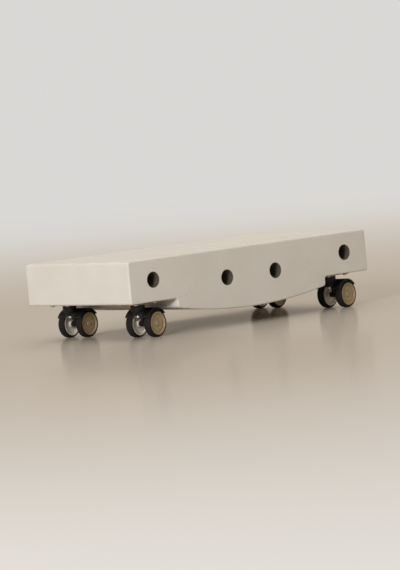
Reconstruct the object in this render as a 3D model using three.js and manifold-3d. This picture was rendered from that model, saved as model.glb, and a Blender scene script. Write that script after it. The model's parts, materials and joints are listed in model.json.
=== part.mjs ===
// Low scooter board: a foam block with a curved belly, carried near its corners on four
// twin-wheel swivel casters. Millimetres, +Z up, floor at z = 0, front end towards -X,
// left side towards -Y, origin on the floor under the middle of the block.

import * as THREE from "three";
import { mergeVertices } from "three/addons/utils/BufferGeometryUtils.js";
import Module from "manifold-3d";

const wasm = await Module();
wasm.setup();

// Block: one side outline cut straight through the width
const blockLength = 590;
const blockWidth = 295;
const endThickness = 78;
const shoulderDrop = 17;
const bellyDrop = 34.5;
const topCornerRadius = 5;
const endCornerRadius = 4;
const shoulderRadius = 6;
const stepRadius = 5;
const longEdgeRadius = 3;

// Tunnels across the block
const tunnelDiameter = 28;
const tunnelMouthBevel = 1.5;
const endTunnelInset = 57;
const endTunnelDepth = 38;
const middleTunnelOffset = 60;
const middleTunnelDepth = 53;

// Where the casters stand, measured from the block's ends and sides to the swivel axis
const casterEndInset = 56;
const casterSideInset = 50;
const casterRestTurn = THREE.MathUtils.degToRad(10);
const swingClearance = 1.2;

// Plywood boards let into the flat ends, which hold the screws
const plyThickness = 12;
const plyMargin = 10;
const plyCornerRadius = 8;
const glueGap = 0.3;

// Wheels
const wheelRadius = 25;
const wheelWidth = 15;
const wheelSpacing = 28;
const treadShoulder = 2;
const tyreThickness = 3.7;
const hubFlangeBevel = 0.8;
const hubRimThickness = 2.4;
const hubRecessDepth = 2.5;
const hubWebThickness = 8;
const hubBossRadius = 6;
const hubCapRadius = 5.4;
const hubCapHeight = 1.6;

// Swivel housing: web, hood over the treads, neck and bosses in one moulding
const trail = 20;
const wellClearance = 1.8;
const hoodWall = 2.5;
const hoodEdgeBevel = 1.5;
const hoodInset = 1;
const hoodRearAngle = THREE.MathUtils.degToRad(34);
const hoodFrontAngle = THREE.MathUtils.degToRad(152);
const webThickness = 6;
const neckRadius = 13;
const neckHeight = 6.9;
const neckSkirt = 16;
const neckFlare = 6;
const pinBossRadius = 8.5;
const pinBossLength = 19.5;
const axleBossRadius = 5.2;
const axleRadius = 3;
const axleReach = 9;
const axleBevel = 0.6;

// Swivel pin, its retaining ring and the thrust washer
const pinRadius = 4;
const pinHeadRadius = 7;
const pinHeadHeight = 1.8;
const pinHeadBevel = 0.7;
const pinTail = 2.2;
const grooveDepth = 1;
const ringThickness = 1.2;
const ringWidth = 3.4;
const ringOpening = THREE.MathUtils.degToRad(70);
const washerThickness = 2.5;

// Top plate and its screws
const plateSize = 60;
const plateThickness = 2.5;
const plateCornerRadius = 7;
const screwInset = 8;
const screwRadius = 2;
const screwHeadRadius = 4.2;
const screwHeadHeight = 2.6;
const screwHeadCrown = 0.9;
const screwLength = 12;
const screwTip = 2.5;
const screwHoleClearance = 0.6;

// Fits and facets
const runningGap = 0.3;
const cutOverrun = 5;
const wheelFacets = 20;
const hoodFacets = 40;
const tunnelFacets = 22;
const pinFacets = 12;
const neckFacets = 14;
const screwFacets = 6;
const plateHoleFacets = 8;
const bellySteps = 16;
const cornerSteps = 3;
const edgeSteps = 2;

// Levels above the floor, built up from the wheels
const axleHeight = wheelRadius;
const wellRadius = wheelRadius + wellClearance;
const hoodRadius = wellRadius + hoodWall;
const neckTop = axleHeight + hoodRadius + neckHeight;
const washerBottom = neckTop + runningGap;
const plateBottom = washerBottom + washerThickness;
const mountLevel = plateBottom + plateThickness;
const topLevel = mountLevel + endThickness;

// The belly starts where a caster's full swing ends
const wheelOuterFace = wheelSpacing / 2 + wheelWidth;
const swingRadius = Math.hypot(trail + wheelRadius, wheelOuterFace);
const bellyEnd = blockLength / 2 - casterEndInset - swingRadius - swingClearance;

const foam = new THREE.MeshStandardMaterial({ color: 0xd8d1c6, roughness: 0.85, metalness: 0 });
const plywood = new THREE.MeshStandardMaterial({ color: 0xc09a68, roughness: 0.7, metalness: 0 });
const blackSteel = new THREE.MeshStandardMaterial({ color: 0x1b1a19, roughness: 0.5, metalness: 0.3 });
const brightSteel = new THREE.MeshStandardMaterial({ color: 0x9fa2a4, roughness: 0.35, metalness: 1 });
const blackPlastic = new THREE.MeshStandardMaterial({ color: 0x141312, roughness: 0.55, metalness: 0 });
const nylon = new THREE.MeshStandardMaterial({ color: 0xd9d6cc, roughness: 0.5, metalness: 0 });
const tanPlastic = new THREE.MeshStandardMaterial({ color: 0xa39879, roughness: 0.5, metalness: 0 });
const tread = new THREE.MeshStandardMaterial({ color: 0x100f0e, roughness: 0.8, metalness: 0 });

const board = new THREE.Group();

// A closed geometry as a solid that can be joined and cut
function solid(geometry) {
  const bare = geometry.index ? geometry.toNonIndexed() : geometry.clone();
  bare.deleteAttribute("normal");
  bare.deleteAttribute("uv");
  const merged = mergeVertices(bare);
  const mesh = new wasm.Mesh({
    numProp: 3,
    vertProperties: new Float32Array(merged.attributes.position.array),
    triVerts: new Uint32Array(merged.index.array),
  });
  mesh.merge();
  return new wasm.Manifold(mesh);
}

// A solid back as a geometry
function geometryOf(body) {
  const mesh = body.getMesh();
  const geometry = new THREE.BufferGeometry();
  geometry.setAttribute("position", new THREE.BufferAttribute(mesh.vertProperties, 3));
  geometry.setIndex(new THREE.BufferAttribute(mesh.triVerts, 1));
  geometry.computeVertexNormals();
  return geometry;
}

// Corners [x, y, radius] as outline points, each corner rounded by its own radius
function roundedPoints(corners) {
  const points = [];
  corners.forEach(([x, y, radius], i) => {
    const corner = new THREE.Vector2(x, y);
    if (radius === 0) {
      points.push(corner);
      return;
    }
    const [beforeX, beforeY] = corners.at(i - 1);
    const [afterX, afterY] = corners[(i + 1) % corners.length];
    const toBefore = new THREE.Vector2(beforeX, beforeY).sub(corner).normalize();
    const toAfter = new THREE.Vector2(afterX, afterY).sub(corner).normalize();
    const halfAngle = Math.acos(toBefore.dot(toAfter)) / 2;
    const inward = toBefore.clone().add(toAfter).normalize();
    const centre = corner.clone().addScaledVector(inward, radius / Math.sin(halfAngle));
    const reach = radius / Math.tan(halfAngle);
    const first = corner.clone().addScaledVector(toBefore, reach).sub(centre);
    const last = corner.clone().addScaledVector(toAfter, reach).sub(centre);
    const sweep = Math.atan2(first.cross(last), first.dot(last));
    for (let step = 0; step <= cornerSteps; step += 1) {
      const turned = first.clone().rotateAround(new THREE.Vector2(), (sweep * step) / cornerSteps);
      points.push(turned.add(centre));
    }
  });
  return points;
}

// A profile of [radius, height] turned about Y, with the facets' flats facing down
function turnedAboutY(profile, facets) {
  const points = profile.map(([radius, height]) => new THREE.Vector2(radius, height));
  return new THREE.LatheGeometry(points, facets, Math.PI / facets);
}

// The same profile turned about Z
function turnedAboutZ(profile, facets) {
  return turnedAboutY(profile, facets).rotateX(Math.PI / 2);
}

// A plain rod about Y between two places
function rodAboutY(radius, from, to, facets) {
  return turnedAboutY([[0, from], [radius, from], [radius, to], [0, to]], facets);
}

// A plain rod about Z between two levels
function rodAboutZ(radius, bottom, top, facets) {
  return turnedAboutZ([[0, bottom], [radius, bottom], [radius, top], [0, top]], facets);
}

function addMesh(parent, name, geometry, material) {
  const mesh = new THREE.Mesh(geometry, material);
  mesh.name = name;
  parent.add(mesh);
  return mesh;
}

// Places of the four casters on the block
const casterPlaces = [];
for (const [endName, endSide] of [["front", -1], ["rear", 1]]) {
  for (const [sideName, widthSide] of [["left", -1], ["right", 1]]) {
    casterPlaces.push({
      name: `${endName}_${sideName}`,
      x: endSide * (blockLength / 2 - casterEndInset),
      y: widthSide * (blockWidth / 2 - casterSideInset),
    });
  }
}

// Screw places around a swivel axis
const screwSpacing = plateSize - 2 * screwInset;
const screwPlaces = [-1, 1].flatMap((alongX) =>
  [-1, 1].map((alongY) => [(alongX * screwSpacing) / 2, (alongY * screwSpacing) / 2]),
);

// A flat rectangle with rounded corners, from one level up to another
function roundedSlab(length, width, radius, bottom, top) {
  const outline = roundedPoints([
    [-length / 2, -width / 2, radius],
    [length / 2, -width / 2, radius],
    [length / 2, width / 2, radius],
    [-length / 2, width / 2, radius],
  ]);
  const shape = new THREE.Shape(outline);
  const slab = new THREE.ExtrudeGeometry(shape, { depth: top - bottom, bevelEnabled: false });
  return slab.translate(0, 0, bottom);
}

const plyLength = plateSize + 2 * plyMargin;
const plyWidth = blockWidth - 2 * casterSideInset + plateSize + 2 * plyMargin;
const plyCentre = blockLength / 2 - casterEndInset;

// Points along the belly's long arc, from the front shoulder to the rear one
function bellyPoints() {
  const rise = bellyDrop - shoulderDrop;
  const arcRadius = (bellyEnd ** 2 + rise ** 2) / (2 * rise);
  const arcCentre = mountLevel - bellyDrop + arcRadius;
  const halfSweep = Math.asin(bellyEnd / arcRadius);
  const points = [];
  for (let step = 0; step <= bellySteps; step += 1) {
    const angle = halfSweep * ((2 * step) / bellySteps - 1);
    points.push([arcRadius * Math.sin(angle), arcCentre - arcRadius * Math.cos(angle), 0]);
  }
  points[0][2] = shoulderRadius;
  points[bellySteps][2] = shoulderRadius;
  return points;
}

function makeBlock() {
  const end = blockLength / 2;
  const outline = roundedPoints([
    [-end, topLevel, topCornerRadius],
    [-end, mountLevel, endCornerRadius],
    [-bellyEnd, mountLevel, stepRadius],
    ...bellyPoints(),
    [bellyEnd, mountLevel, stepRadius],
    [end, mountLevel, endCornerRadius],
    [end, topLevel, topCornerRadius],
  ]);
  const slab = new THREE.ExtrudeGeometry(new THREE.Shape(outline), {
    depth: blockWidth - 2 * longEdgeRadius,
    bevelThickness: longEdgeRadius,
    bevelSize: longEdgeRadius,
    bevelOffset: -longEdgeRadius,
    bevelSegments: edgeSteps,
  });
  slab.translate(0, 0, longEdgeRadius - blockWidth / 2).rotateX(Math.PI / 2);
  let body = solid(slab);

  const face = blockWidth / 2;
  const bore = tunnelDiameter / 2;
  const mouth = bore + tunnelMouthBevel;
  const tunnel = turnedAboutY(
    [
      [0, -face - cutOverrun],
      [mouth, -face - cutOverrun],
      [mouth, -face],
      [bore, -face + tunnelMouthBevel],
      [bore, face - tunnelMouthBevel],
      [mouth, face],
      [mouth, face + cutOverrun],
      [0, face + cutOverrun],
    ],
    tunnelFacets,
  );
  for (const [fromMiddle, depth] of [
    [end - endTunnelInset, endTunnelDepth],
    [middleTunnelOffset, middleTunnelDepth],
  ]) {
    for (const endSide of [-1, 1]) {
      body = body.subtract(solid(tunnel.clone().translate(endSide * fromMiddle, 0, topLevel - depth)));
    }
  }

  const pocket = roundedSlab(
    plyLength + 2 * glueGap,
    plyWidth + 2 * glueGap,
    plyCornerRadius + glueGap,
    mountLevel - cutOverrun,
    mountLevel + plyThickness + glueGap,
  );
  for (const endSide of [-1, 1]) {
    body = body.subtract(solid(pocket.clone().translate(endSide * plyCentre, 0, 0)));
  }
  return geometryOf(body);
}

// One mounting board, flush with the flat end, with blind screw holes and room for pin heads
function makePlyBoard() {
  const bottom = mountLevel;
  let body = solid(roundedSlab(plyLength, plyWidth, plyCornerRadius, bottom, bottom + plyThickness));
  const holeRadius = screwRadius + runningGap;
  const holeTop = plateBottom + screwLength + runningGap;
  const pinRecess = rodAboutZ(
    pinHeadRadius + screwHoleClearance,
    bottom - cutOverrun,
    bottom + pinHeadHeight + screwHoleClearance,
    pinFacets,
  );
  const screwHole = rodAboutZ(holeRadius, bottom - cutOverrun, holeTop, screwFacets);
  for (const widthSide of [-1, 1]) {
    const y = widthSide * (blockWidth / 2 - casterSideInset);
    body = body.subtract(solid(pinRecess.clone().translate(0, y, 0)));
    for (const [screwX, screwY] of screwPlaces) {
      body = body.subtract(solid(screwHole.clone().translate(screwX, y + screwY, 0)));
    }
  }
  return geometryOf(body);
}

function makeTopPlate() {
  const outline = roundedPoints([
    [-plateSize / 2, -plateSize / 2, plateCornerRadius],
    [plateSize / 2, -plateSize / 2, plateCornerRadius],
    [plateSize / 2, plateSize / 2, plateCornerRadius],
    [-plateSize / 2, plateSize / 2, plateCornerRadius],
  ]);
  const shape = new THREE.Shape(outline);
  const circle = (x, y, radius, facets) => {
    const points = [];
    for (let facet = 0; facet < facets; facet += 1) {
      const angle = (2 * Math.PI * facet) / facets;
      points.push(new THREE.Vector2(x + radius * Math.cos(angle), y + radius * Math.sin(angle)));
    }
    return new THREE.Path(points.reverse());
  };
  shape.holes.push(circle(0, 0, pinRadius + runningGap, pinFacets));
  for (const [screwX, screwY] of screwPlaces) {
    shape.holes.push(circle(screwX, screwY, screwRadius + screwHoleClearance, plateHoleFacets));
  }
  const plate = new THREE.ExtrudeGeometry(shape, { depth: plateThickness, bevelEnabled: false });
  return plate.translate(0, 0, plateBottom);
}

// Pan-head wood screw seen head down
function makeScrew() {
  const headBottom = plateBottom - screwHeadHeight;
  const tipTop = plateBottom + screwLength;
  return turnedAboutZ(
    [
      [0, headBottom],
      [screwHeadRadius - 2 * screwHeadCrown, headBottom],
      [screwHeadRadius, headBottom + screwHeadCrown],
      [screwHeadRadius, plateBottom],
      [screwRadius, plateBottom],
      [screwRadius, tipTop - screwTip],
      [0, tipTop],
    ],
    screwFacets,
  );
}

const pinBossBottom = neckTop - pinBossLength;
const ringTop = pinBossBottom - runningGap;
const ringBottom = ringTop - ringThickness;
const grooveRadius = pinRadius - grooveDepth;

// Swivel pin, riveted over the plate, with a ring groove near its lower end
function makeSwivelPin() {
  const grooveTop = ringTop + runningGap;
  const grooveBottom = ringBottom - runningGap;
  const pinEnd = grooveBottom - pinTail;
  const headTop = mountLevel + pinHeadHeight;
  return turnedAboutZ(
    [
      [0, pinEnd],
      [grooveRadius, pinEnd],
      [pinRadius, pinEnd + grooveDepth],
      [pinRadius, grooveBottom],
      [grooveRadius, grooveBottom],
      [grooveRadius, grooveTop],
      [pinRadius, grooveTop],
      [pinRadius, mountLevel],
      [pinHeadRadius, mountLevel],
      [pinHeadRadius, headTop - pinHeadBevel],
      [pinHeadRadius - pinHeadBevel, headTop],
      [0, headTop],
    ],
    pinFacets,
  );
}

// Open spring ring in the pin's groove
function makeRetainingRing() {
  const inner = grooveRadius + runningGap;
  const shape = new THREE.Shape();
  const from = ringOpening / 2;
  const to = 2 * Math.PI - ringOpening / 2;
  shape.absarc(0, 0, inner + ringWidth, from, to, false);
  shape.absarc(0, 0, inner, to, from, true);
  const ring = new THREE.ExtrudeGeometry(shape, {
    depth: ringThickness,
    bevelEnabled: false,
    curveSegments: pinFacets / 2,
  });
  return ring.translate(0, 0, ringBottom);
}

function makeThrustWasher() {
  const inner = pinRadius + runningGap;
  const profile = [
    [inner, washerBottom],
    [neckRadius, washerBottom],
    [neckRadius, plateBottom],
    [inner, plateBottom],
    [inner, washerBottom],
  ];
  return turnedAboutZ(profile, neckFacets);
}

// Housing in its own frame: swivel axis at x = 0, axle along Y at x = trail
function makeHousing() {
  const halfWidth = wheelOuterFace - hoodInset;
  const drum = turnedAboutY(
    [
      [0, -halfWidth],
      [hoodRadius - hoodEdgeBevel, -halfWidth],
      [hoodRadius, hoodEdgeBevel - halfWidth],
      [hoodRadius, halfWidth - hoodEdgeBevel],
      [hoodRadius - hoodEdgeBevel, halfWidth],
      [0, halfWidth],
    ],
    hoodFacets,
  ).translate(trail, 0, axleHeight);

  // The hood keeps the part of the drum between its rear and front edges
  const reach = 2 * hoodRadius;
  const sector = new THREE.Shape([
    new THREE.Vector2(0, 0),
    new THREE.Vector2(reach * Math.cos(hoodRearAngle), reach * Math.sin(hoodRearAngle)),
    new THREE.Vector2(0, reach),
    new THREE.Vector2(reach * Math.cos(hoodFrontAngle), reach * Math.sin(hoodFrontAngle)),
  ]);
  const wedge = new THREE.ExtrudeGeometry(sector, { depth: 2 * wheelOuterFace, bevelEnabled: false })
    .rotateX(Math.PI / 2)
    .translate(trail, wheelOuterFace, axleHeight);
  const neck = turnedAboutZ(
    [
      [0, neckTop - neckSkirt],
      [pinBossRadius, neckTop - neckSkirt],
      [neckRadius, neckTop - neckSkirt + neckFlare],
      [neckRadius, neckTop],
      [0, neckTop],
    ],
    neckFacets,
  );
  let body = solid(drum).intersect(solid(wedge)).add(solid(neck));

  // Wheel wells leave the web between them
  for (const widthSide of [-1, 1]) {
    const [from, to] = [webThickness / 2, wheelOuterFace + cutOverrun].map((y) => widthSide * y);
    const well = rodAboutY(wellRadius, Math.min(from, to), Math.max(from, to), hoodFacets);
    body = body.subtract(solid(well.translate(trail, 0, axleHeight)));
  }
  const belowBoss = rodAboutZ(pinBossRadius, 0, pinBossBottom, neckFacets);
  body = body.subtract(solid(belowBoss));

  const bossEnd = wheelSpacing / 2 - runningGap;
  body = body.add(solid(rodAboutZ(pinBossRadius, pinBossBottom, neckTop, neckFacets)));
  body = body.add(solid(rodAboutY(axleBossRadius, -bossEnd, bossEnd, neckFacets).translate(trail, 0, axleHeight)));
  const pinBore = rodAboutZ(pinRadius + runningGap, 0, neckTop + cutOverrun, pinFacets);
  body = body.subtract(solid(pinBore));
  const axleBore = rodAboutY(axleRadius + runningGap, -bossEnd - cutOverrun, bossEnd + cutOverrun, pinFacets);
  body = body.subtract(solid(axleBore.translate(trail, 0, axleHeight)));
  return geometryOf(body);
}

const axleHalfLength = wheelSpacing / 2 + axleReach;

function makeAxle() {
  return turnedAboutY(
    [
      [0, -axleHalfLength],
      [axleRadius - axleBevel, -axleHalfLength],
      [axleRadius, axleBevel - axleHalfLength],
      [axleRadius, axleHalfLength - axleBevel],
      [axleRadius - axleBevel, axleHalfLength],
      [0, axleHalfLength],
    ],
    pinFacets,
  );
}

const hubRadius = wheelRadius - tyreThickness - runningGap;

// Hub for the +Y wheel: recessed web on both sides, rim, blind-bored boss and outer cap
function makeHub() {
  const inner = wheelSpacing / 2;
  const outer = wheelOuterFace;
  const bore = axleRadius + runningGap;
  const boreEnd = axleHalfLength + runningGap;
  const rimInside = hubRadius - hubRimThickness;
  const webOuter = outer - hubRecessDepth;
  const webInner = webOuter - hubWebThickness;
  return turnedAboutY(
    [
      [0, boreEnd],
      [bore, boreEnd],
      [bore, inner],
      [hubBossRadius, inner],
      [hubBossRadius, webInner],
      [rimInside, webInner],
      [rimInside, inner],
      [hubRadius, inner],
      [hubRadius, outer - hubFlangeBevel],
      [hubRadius - hubFlangeBevel, outer],
      [rimInside, outer],
      [rimInside, webOuter],
      [hubCapRadius, webOuter],
      [hubCapRadius - hubCapHeight / 2, webOuter + hubCapHeight],
      [0, webOuter + hubCapHeight],
    ],
    wheelFacets,
  );
}

// Tyre for the +Y wheel, the flats of its tread lying on the true wheel radius
function makeTyre() {
  const seat = hubRadius + runningGap;
  const treadRadius = wheelRadius / Math.cos(Math.PI / wheelFacets);
  const inner = wheelSpacing / 2;
  const outer = wheelOuterFace;
  return turnedAboutY(
    [
      [seat, inner],
      [treadRadius - treadShoulder, inner],
      [treadRadius, inner + treadShoulder],
      [treadRadius, outer - treadShoulder],
      [treadRadius - treadShoulder, outer],
      [seat, outer],
      [seat, inner],
    ],
    wheelFacets,
  );
}

function addCaster({ name, x, y }) {
  const fixed = new THREE.Group();
  fixed.position.set(x, y, 0);
  board.add(fixed);
  addMesh(fixed, `${name}_top_plate`, makeTopPlate(), blackSteel);
  addMesh(fixed, `${name}_swivel_pin`, makeSwivelPin(), brightSteel);
  addMesh(fixed, `${name}_retaining_ring`, makeRetainingRing(), brightSteel);
  addMesh(fixed, `${name}_thrust_washer`, makeThrustWasher(), nylon);
  screwPlaces.forEach(([screwX, screwY], number) => {
    const screw = addMesh(fixed, `${name}_screw_${number + 1}`, makeScrew(), brightSteel);
    screw.position.set(screwX, screwY, 0);
  });

  const swivel = new THREE.Group();
  swivel.rotation.z = casterRestTurn;
  fixed.add(swivel);
  addMesh(swivel, `${name}_housing`, makeHousing(), blackPlastic);
  const axle = addMesh(swivel, `${name}_axle`, makeAxle(), brightSteel);
  axle.position.set(trail, 0, axleHeight);
  for (const [wheelName, halfTurn] of [["left", Math.PI], ["right", 0]]) {
    const wheel = new THREE.Group();
    wheel.position.set(trail, 0, axleHeight);
    wheel.rotation.z = halfTurn;
    swivel.add(wheel);
    addMesh(wheel, `${name}_${wheelName}_hub`, makeHub(), tanPlastic);
    addMesh(wheel, `${name}_${wheelName}_tyre`, makeTyre(), tread);
  }
}

addMesh(board, "block", makeBlock(), foam);
for (const [endName, endSide] of [["front", -1], ["rear", 1]]) {
  const plyBoard = addMesh(board, `${endName}_mounting_board`, makePlyBoard(), plywood);
  plyBoard.position.x = endSide * plyCentre;
}
casterPlaces.forEach(addCaster);

export default board;
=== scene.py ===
import json
import math

import bmesh
import bpy
import numpy as np
import openvdb
from mathutils import Matrix, Vector


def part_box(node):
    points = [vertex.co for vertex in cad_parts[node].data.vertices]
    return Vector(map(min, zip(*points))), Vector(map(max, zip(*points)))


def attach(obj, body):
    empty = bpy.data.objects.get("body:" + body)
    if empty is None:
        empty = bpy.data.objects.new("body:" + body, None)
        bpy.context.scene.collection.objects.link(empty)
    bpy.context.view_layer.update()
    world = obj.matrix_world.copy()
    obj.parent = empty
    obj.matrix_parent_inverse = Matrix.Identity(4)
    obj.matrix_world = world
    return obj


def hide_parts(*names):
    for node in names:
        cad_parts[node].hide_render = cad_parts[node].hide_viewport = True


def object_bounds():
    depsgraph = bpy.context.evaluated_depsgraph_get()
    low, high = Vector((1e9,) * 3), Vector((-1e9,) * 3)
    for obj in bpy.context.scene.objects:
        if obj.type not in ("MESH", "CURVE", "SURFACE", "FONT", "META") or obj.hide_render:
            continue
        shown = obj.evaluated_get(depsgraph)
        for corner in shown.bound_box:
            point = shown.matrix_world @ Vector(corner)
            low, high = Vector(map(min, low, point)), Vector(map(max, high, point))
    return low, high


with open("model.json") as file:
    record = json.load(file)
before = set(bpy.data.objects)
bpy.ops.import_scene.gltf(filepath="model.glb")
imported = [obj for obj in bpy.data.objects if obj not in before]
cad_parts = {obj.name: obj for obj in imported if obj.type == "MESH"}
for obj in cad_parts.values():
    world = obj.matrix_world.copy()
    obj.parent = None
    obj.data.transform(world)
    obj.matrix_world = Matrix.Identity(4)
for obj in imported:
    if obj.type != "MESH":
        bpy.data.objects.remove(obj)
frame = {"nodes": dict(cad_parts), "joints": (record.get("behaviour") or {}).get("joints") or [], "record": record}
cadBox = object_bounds()

mm = 0.001  # shapes are worked out in millimetres and put into the mesh in metres
weldWithin = 0.002  # points nearer than this are one point
planeWithin = 0.01  # an open rim this near to a plane is filled flat
casterNames = ("front_left", "front_right", "rear_left", "rear_right")
boardNames = ("front_mounting_board", "rear_mounting_board")
wheelSides = (("left", math.pi), ("right", 0.0))
record = frame["record"]
joints = {joint["name"]: joint for joint in frame["joints"]}
bodyOf = {node: body for body, nodes in record["behaviour"]["bodies"].items() for node in nodes}


# Lowest and highest corner of a CAD node in millimetres
def nodeBox(node):
    return [np.array(corner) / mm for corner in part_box(node)]


# Where a caster stands on the floor and how far its housing is turned, read from its joints
def casterMatrix(caster, turned=True):
    pivot = joints[f"{caster}_swivel_turn"]["pos_m"]
    axis = joints[f"{caster}_right_wheel_spin"]["axis"]
    turn = math.atan2(-axis[0], axis[1]) if turned else 0.0
    return Matrix.Translation((pivot[0], pivot[1], 0)) @ Matrix.Rotation(turn, 4, "Z")


# The points of a CAD node in millimetres, seen from a frame of its own
def nodePoints(node, matrix):
    mesh = frame["nodes"][node].data.copy()
    mesh.transform(matrix.inverted())
    flat = np.empty(len(mesh.vertices) * 3, np.float32)
    mesh.vertices.foreach_get("co", flat)
    bpy.data.meshes.remove(mesh)
    return flat.reshape(-1, 3).astype(float) / mm


measured = casterMatrix("front_left")
wheelCentre = measured.inverted() @ Vector(joints["front_left_right_wheel_spin"]["pos_m"])
trail = wheelCentre.x / mm
axleHeight = wheelCentre.z / mm
tyrePoints = nodePoints("front_left_right_tyre", measured)
hubPoints = nodePoints("front_left_right_hub", measured)
housingPoints = nodePoints("front_left_housing", measured)
wheelRadius = axleHeight
wheelInner = tyrePoints[:, 1].min()
wheelOuter = tyrePoints[:, 1].max()
hubRadius = np.hypot(hubPoints[:, 0] - trail, hubPoints[:, 2] - axleHeight).max()
neckTop = housingPoints[:, 2].max()
hoodHalfWidth = housingPoints[:, 1].max()
hoodPoints = housingPoints[np.abs(housingPoints[:, 1]) > wheelInner]
hoodRadius = np.hypot(hoodPoints[:, 0] - trail, hoodPoints[:, 2] - axleHeight).max()
washerBottom = nodeBox("front_left_thrust_washer")[0][2]
plateBottom = nodeBox("front_left_top_plate")[0][2]
mountLevel = nodeBox("front_mounting_board")[0][2]
blockLow, blockHigh = nodeBox("block")
print("measured: wheel", round(wheelRadius, 2), "trail", round(trail, 2), "hood", round(hoodRadius, 2))


# One socket of a node tree, so that sums on values read as sums and add Math nodes
class Signal:
    def __init__(self, nodes, socket):
        self.nodes = nodes
        self.socket = socket

    def maths(self, operation, *values):
        return self.nodes.node("Math", {"operation": operation}, dict(enumerate(values)))

    def __add__(self, other):
        return self.maths("ADD", self, other)

    def __radd__(self, other):
        return self.maths("ADD", other, self)

    def __sub__(self, other):
        return self.maths("SUBTRACT", self, other)

    def __rsub__(self, other):
        return self.maths("SUBTRACT", other, self)

    def __mul__(self, other):
        return self.maths("MULTIPLY", self, other)

    def __rmul__(self, other):
        return self.maths("MULTIPLY", other, self)


# A node tree, and one method that adds any node to it
class Nodes:
    def __init__(self, tree):
        self.tree = tree

    def node(self, kind, settings=None, inputs=None, output=0):
        made = self.tree.nodes.new(f"ShaderNode{kind}")
        for key, value in (settings or {}).items():
            setattr(made, key, value)
        for key, value in (inputs or {}).items():
            if isinstance(value, Signal):
                self.tree.links.new(value.socket, made.inputs[key])
            else:
                made.inputs[key].default_value = value
        return Signal(self, made.outputs[output])

    def show(self, surface, end):
        self.tree.links.new(surface.socket, self.tree.nodes[end].inputs["Surface"])


# One material: its Principled shader, and the patterns that feed it
class Finish(Nodes):
    def __init__(self, name, **constants):
        self.material = bpy.data.materials.new(name)
        self.material.use_nodes = True
        super().__init__(self.material.node_tree)
        self.shader = self.tree.nodes["Principled BSDF"]
        for key, value in constants.items():
            self.shader.inputs[key.replace("_", " ")].default_value = value

    def feed(self, socket, value):
        self.tree.links.new(value.socket, self.shader.inputs[socket])

    def place(self, scale=(1, 1, 1)):
        position = self.node("TexCoord", output=3)  # Object coordinates
        return self.node("Mapping", {"vector_type": "POINT"}, {"Vector": position, "Scale": scale})

    def noise(self, size, detail, roughness=0.5, stretch=(1, 1, 1)):
        inputs = {
            "Vector": self.place(stretch),
            "Scale": 1 / (size * mm),
            "Detail": detail,
            "Roughness": roughness,
        }
        return self.node("TexNoise", {"noise_dimensions": "3D"}, inputs)

    def cells(self, size):
        inputs = {"Vector": self.place(), "Scale": 1 / (size * mm)}
        return self.node("TexVoronoi", {"feature": "F1"}, inputs)

    def attribute(self, name):
        return self.node("Attribute", {"attribute_name": name}, output=2)  # its number

    # A value carried from one range to another along a smooth step
    def between(self, value, low, high, toLow=0.0, toHigh=1.0):
        inputs = {"Value": value, "From Min": low, "From Max": high, "To Min": toLow, "To Max": toHigh}
        return self.node("MapRange", {"interpolation_type": "SMOOTHSTEP"}, inputs)

    # Noise that fades in between two of its values
    def patches(self, size, detail, roughness, low, high):
        return self.between(self.noise(size, detail, roughness), low, high)

    # Sockets 6 and 7 of a Mix node are its two colours
    def blend(self, factor, colour, other):
        values = [value if isinstance(value, Signal) else (*value, 1) for value in (colour, other)]
        return self.node("Mix", {"data_type": "RGBA"}, {0: factor, 6: values[0], 7: values[1]}, output=2)

    # Roughness is a base and each pattern times its share, and the height makes the relief
    def surfaced(self, look, height, *patterns):
        rough, *shares = look["roughness"]
        for share, pattern in zip(shares, patterns):
            rough = rough + share * pattern
        self.feed("Roughness", rough)
        depth, strength = look["relief"]
        inputs = {"Height": height, "Distance": depth * mm, "Strength": strength}
        self.feed("Normal", self.node("Bump", None, inputs))
        return self.material


# In each look: colours, shares from 0 to 1, patterns as (size in millimetres, detail, roughness, and
# the two values between which it fades in) or the first of these, the material's roughness with what
# each pattern adds to it, and the relief's depth in millimetres with its strength
foamLook = {
    "colour": (0.735, 0.695, 0.636),
    "shade": (0.704, 0.658, 0.592),
    "scuff": (0.500, 0.452, 0.388),
    # inside and the colour after it are painted shade, near-black, for the walls of the tunnels and of the boards'
    # pockets
    "inside": (0.072, 0.057, 0.042),
    "cut": (0.140, 0.115, 0.086),
    "mottle": (60, 2, 0.45),
    "mottleFade": (0.3, 0.7),
    "pebble": 1.35,
    "pebbleFade": (0.4, 0.9, 0, 0.5),  # to half at most
    "grain": (0.75, 2),
    "grainFade": (0.35, 0.65),
    "grainHeight": (0.5, 1.4),  # everywhere, and more in the tunnels
    "scuffs": (11, 4, 0.6, 0.54, 0.7),
    "scuffShare": 0.35,
    "roughness": (0.76, 0.06, 0.12),
    "relief": (0.22, 0.55),
}


# Fine skinned foam: faint mottling and pebbled cells, and in the tunnels coarser cells under painted shade, a
# near-black colour
def foamFinish():
    look = foamLook
    made = Finish("foam", Specular_IOR_Level=0.3)
    edge = made.attribute("edge")
    # this mask is where shade is painted: the tunnels' walls past their mouths, and the pockets' walls
    inside = made.attribute("zone")
    mottle = made.noise(*look["mottle"])
    pebbles = made.cells(look["pebble"])
    grain = made.noise(*look["grain"])
    skin = made.blend(made.between(mottle, *look["mottleFade"]), look["shade"], look["colour"])
    skin = made.blend(made.between(pebbles, *look["pebbleFade"]), skin, look["shade"])
    scuffs = made.patches(*look["scuffs"]) * edge * look["scuffShare"]
    skin = made.blend(scuffs, skin, look["scuff"])
    cut = made.blend(made.between(grain, *look["grainFade"]), look["inside"], look["cut"])
    # painted shade takes the place of the skin's colour on those walls
    made.feed("Base Color", made.blend(inside, skin, cut))
    least, more = look["grainHeight"]
    return made.surfaced(look, grain * (least + more * inside) - pebbles, mottle, inside)


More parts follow.
